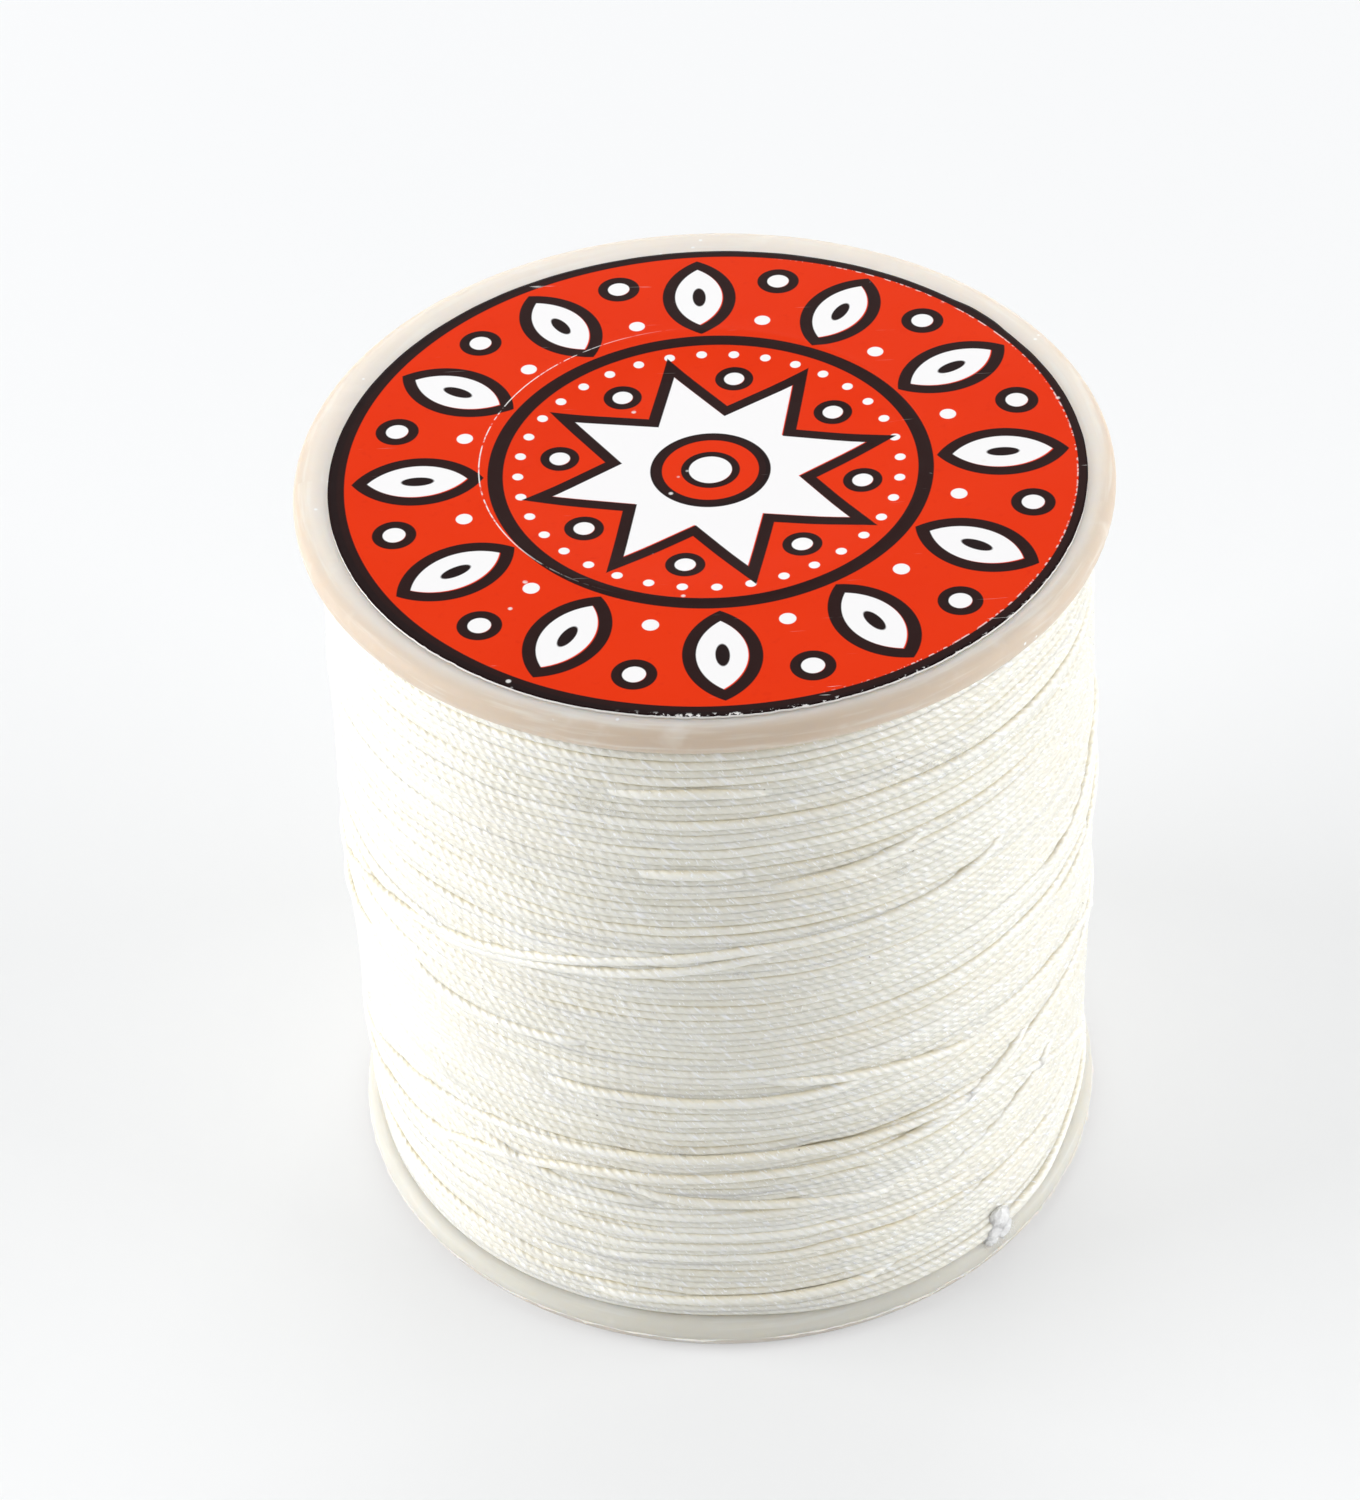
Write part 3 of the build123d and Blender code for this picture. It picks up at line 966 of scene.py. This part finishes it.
def label_print():
    material, tree, shader, place = new_material("label_print")
    x, y, _ = split(place)
    across = (x - label_centre.x) * 1000.0 - print_shift[0]
    deep = (y - label_centre.y) * 1000.0 - print_shift[1]
    reach = hypotenuse(x * 1000.0, y * 1000.0)

    def inside(distance, softness=0.035):
        return 1.0 - distance.ramp(-softness, softness)

    def line(distance, middle, half):
        """A ring or outline of ink about a form's edge."""
        return inside((distance - middle).size() - half)

    def design(x, y):
        """Distances in mm outside each motif, after the distance from the middle."""
        radius = hypotenuse(x, y)
        angle = x.arctan2(y * -1.0)

        def around(spread, out):
            """Place along and across a spoke, on which a motif stands out at a reach."""
            return radius * spread.cos() - out, radius * spread.sin()

        on_petal = angle.folded(math.pi / petal_count)
        between = math.pi / petal_count - on_petal
        u, v = around(on_petal, petal_reach)
        arc = (petal_length ** 2 + petal_width ** 2) / (2 * petal_width)
        petal = hypotenuse(u, v + (arc - petal_width)) - arc
        seed = hypotenuse(u * 0.42, v) - 0.42
        bead = hypotenuse(*around(between, bead_reach)) - bead_radius
        grain = hypotenuse(*around(between, grain_reach)) - grain_radius
        fold = (angle + 0.2).folded(math.pi / star_points)
        tip_x = star_tip * math.cos(math.pi / star_points)
        tip_y = star_tip * math.sin(math.pi / star_points)
        run = math.hypot(tip_x - star_notch, tip_y)
        star = ((radius * fold.cos() - star_notch) * tip_y
                - radius * fold.sin() * (tip_x - star_notch)) / run
        stud = hypotenuse(*around(fold, stud_reach)) - stud_radius
        on_pearl = angle.folded(math.pi / pearl_count)
        pearl = hypotenuse(*around(on_pearl, pearl_reach)) - pearl_radius
        return radius, petal, seed, bead, grain, star, stud, radius - eye_radius, pearl

    # The white is printed a little off the black.
    radius, petal, seed, bead, grain, star, stud, eye, pearl = design(across + 0.08, deep - 0.07)
    white = any_of(inside(petal + 0.30), inside(bead + 0.18), inside(grain), inside(star + 0.30),
                   inside(stud + 0.14), inside(pearl)) * (1.0 - inside(eye - 0.25))
    white = white.at_least(inside(eye + 1.8))
    radius, petal, seed, bead, grain, star, stud, eye, pearl = design(across, deep)
    black = any_of(
        line(petal, 0.08, 0.40), line(bead, 0.06, 0.32),
        line(star, 0.05, 0.38) * (1.0 - inside(eye + 0.2)), line(stud, 0.06, 0.28),
        line(eye, 0.1, 0.36), line(eye, -1.65, 0.24), inside(seed),
        line(radius, band_radius, 0.47), inside(border_radius - radius))

    broad = clouds(place, 110.0)
    mottle = clouds(place, 1600.0, detail=3.0)
    worn = clouds(place, 900.0, detail=4.0, roughness=0.7)
    nicks = clouds(place, 2300.0, detail=3.0, roughness=0.65)
    overprint = inside(radius - 22.65, 0.1) * (1.0 - white)
    ink = tinted(tree, (0.007, 0.002, 0.002), (mottle, (0.013, 0.004, 0.004)),
                 (overprint * 0.6, (0.022, 0.005, 0.004)))
    # Painted highlight: a thin white line along the crease over the bore's edge, on the left side
    # where the light falls.
    left = (across * -1.0 - 1.0).ramp(0.0, 9.0) * (deep + 12.0).ramp(0.0, 8.0)
    painted_crease_highlight = inside((reach - 13.62).size() - 0.035, 0.03) * left * worn.ramp(0.40, 0.50)
    scratch_place = wire(tree, "ShaderNodeMapping", "Vector", Vector=place,
                         Rotation=(0.0, 0.0, 0.7), Scale=(180.0, 3200.0, 1.0))
    scratch = clouds(scratch_place, 1.0, detail=3.0, roughness=0.6).ramp(0.70, 0.74)
    scratch = scratch * (inside(21.8 - radius, 0.3) * 0.85 + 0.10)
    front = deep.ramp(-8.0, -15.0) * across.ramp(-7.0, -1.0)
    frayed = nicks.ramp(0.56, 0.61) * radius.ramp(22.70, 22.92) * front
    gap = line(radius, 22.16, 0.04) * nicks.ramp(0.50, 0.55) * across.ramp(4.0, 11.0)
    # Bare paper shows at scratches, dust, frayed edges and print gaps; the crease line among them
    # is a painted highlight.
    bare = any_of(painted_crease_highlight, scratch, dust(place, 0.06, 700.0) * 0.8, frayed, gap * 0.7)
    colour = tinted(
        tree, (0.77, 0.028, 0.000),
        (broad, (0.81, 0.038, 0.001)),
        (mottle.ramp(0.60, 0.80) * 0.35, (0.68, 0.020, 0.000)),
        (white, (0.93, 0.92, 0.92)),
        (black, ink),
        # Bare paper, and the painted crease highlight.
        (bare, (0.90, 0.88, 0.86)))
    fill(tree, shader, {
        "Base Color": colour, "Roughness": worn * 0.14 + 0.50 + bare * 0.20,
        "Specular IOR Level": 0.04,
        "Normal": bump(mottle * 0.4 + black * 0.35 - bare * 0.6, 0.02 * MM, 0.5)})
    return material


def bare_paper():
    material, tree, shader, place = new_material("bare_paper")
    fibre = clouds(place, 3000.0, detail=4.0, roughness=0.7)
    fill(tree, shader, {
        "Base Color": tinted(tree, (0.78, 0.76, 0.73), (fibre, (0.93, 0.92, 0.91))),
        "Roughness": fibre * 0.2 + 0.7, "Normal": bump(fibre, 0.05 * MM, 0.8)})
    return material


def printed_disc():
    """The paper disc as a polar grid, with its cut edge and underside in bare paper."""
    shape = bmesh.new()
    shares = [0.04 * step for step in range(1, 13)]
    shares += [0.50 + 0.0085 * step for step in range(20)]
    shares += [0.68 + 0.03 * step for step in range(10)] + [0.965, 0.98, 0.992, 1.0]
    rims = []
    for paper_side, drop in enumerate((0.0, paper_thickness - 0.05 * MM)):

        def on_paper(spot):
            spot.z = label_height(spot) - drop
            return shape.verts.new(spot)

        rings = []
        for share in shares:
            turns = [math.tau * step / label_segments for step in range(label_segments)]
            rings.append([on_paper(label_centre + ring_point(label_edge(turn) * share, 0.0, turn))
                          for turn in turns])
        middle = on_paper(label_centre.copy())
        faces = [shape.faces.new((middle, corner, after))
                 for corner, after in zip(rings[0], rings[0][1:] + rings[0][:1])]
        for inner, outer in zip(rings, rings[1:]):
            faces += bridge(shape, inner, outer)
        for face in faces:
            face.material_index = paper_side
        rims.append(rings[-1])
    for face in bridge(shape, *rims):
        face.material_index = 1
    piece = finish_mesh("paper_label", shape, label_print())
    piece.data.materials.append(bare_paper())
    return piece


label = printed_disc()
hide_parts("label_disc")
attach(label, "root")

# ----------
# The stage: a plain pale table, soft light from the left and right, and the camera.
# Seen directly, the table and the room are lifted towards white.

table_size = 3.0
table_glow = 0.42
near_table, far_table = 0.16, 0.50
room_strength = 0.34


def seen_directly(tree):
    """1 for the camera's own rays and for those that reach it off or through a surface."""
    path = add_node(tree, "ShaderNodeLightPath")
    return any_of(*(Wire(tree, path.outputs[f"Is {kind} Ray"])
                    for kind in ("Camera", "Glossy", "Transmission")))


def mix_surfaces(tree, share, first, second, end):
    mixer = add_node(tree, "ShaderNodeMixShader", inputs={
        0: share, 1: Wire(tree, first.outputs[0]), 2: Wire(tree, second.outputs[0])})
    tree.links.new(mixer.outputs[0], tree.nodes[end].inputs["Surface"])


def pale_table():
    """Pale matt board, which keeps the spool's shadows."""
    material, tree, shader, place = new_material("pale_table")
    colour = tinted(tree, (0.84, 0.85, 0.86), (clouds(place, 3.0), (0.86, 0.865, 0.87)))
    fill(tree, shader, {"Base Color": colour, "Roughness": 0.8, "Specular IOR Level": 0.1})
    glow = add_node(tree, "ShaderNodeEmission", inputs={
        "Color": (0.92, 0.925, 0.93, 1.0), "Strength": 1.0})
    x, y, _ = split(place)
    far_off = hypotenuse(x, y).ramp(near_table, far_table)
    share = seen_directly(tree) * (far_off * (1.0 - table_glow) + table_glow)
    mix_surfaces(tree, share, shader, glow, "Material Output")
    return material


table_shape = bmesh.new()
bmesh.ops.create_grid(table_shape, x_segments=8, y_segments=8, size=table_size)
table = finish_mesh("table_top", table_shape, pale_table())

world = bpy.data.worlds.new("soft_room")
world.use_nodes = True
bpy.context.scene.world = world
sky = world.node_tree
room = fill(sky, sky.nodes["Background"], {
    "Color": (0.97, 0.985, 1.0, 1.0), "Strength": room_strength})
white_room = add_node(sky, "ShaderNodeBackground", inputs={
    "Color": (0.98, 0.985, 0.99, 1.0), "Strength": 1.0})
mix_surfaces(sky, seen_directly(sky), room, white_room, "World Output")

spool_middle = Vector((0.0, 0.0, 0.027))


def soft_lamp(name, place, size, power):
    """A square soft box that faces the spool."""
    lamp = adjust(bpy.data.lights.new(name, "AREA"), shape="SQUARE", size=size, energy=power)
    holder = add_object(name, lamp)
    holder.location = place
    holder.visible_camera = False
    holder.rotation_euler = (spool_middle - Vector(place)).to_track_quat("-Z", "Y").to_euler()


soft_lamp("left_soft_box", (-0.68, -0.03, 0.25), 0.50, 5.5)
soft_lamp("right_soft_box", (0.66, -0.12, 0.23), 0.50, 4.0)
soft_lamp("top_soft_box", (0.0, 0.35, 0.80), 0.60, 1.2)
soft_lamp("back_soft_box", (0.10, 0.78, 0.30), 0.60, 2.6)

camera_elevation = 0.7230
camera_roll = -0.0519
camera_distance = 280.9 * MM
aim_right = 3.46 * MM
aim_up = -22.29 * MM

camera_data = adjust(bpy.data.cameras.new("camera"), lens=107.1, sensor_width=36.0,
                     sensor_fit="HORIZONTAL", clip_start=0.01, clip_end=20.0)
backward = Vector((0.0, -math.cos(camera_elevation), math.sin(camera_elevation)))
level = Vector((1.0, 0.0, 0.0))
upward = Vector((0.0, math.sin(camera_elevation), math.cos(camera_elevation)))
turn_cos, turn_sin = math.cos(camera_roll), math.sin(camera_roll)
rightward = level * turn_cos + upward * turn_sin
topward = upward * turn_cos - level * turn_sin
camera = add_object("camera", camera_data)
camera.location = backward * camera_distance - rightward * aim_right - topward * aim_up
camera.rotation_euler = Matrix((rightward, topward, backward)).transposed().to_euler()
bpy.context.scene.camera = camera
bpy.context.scene.view_settings.view_transform = "Standard"
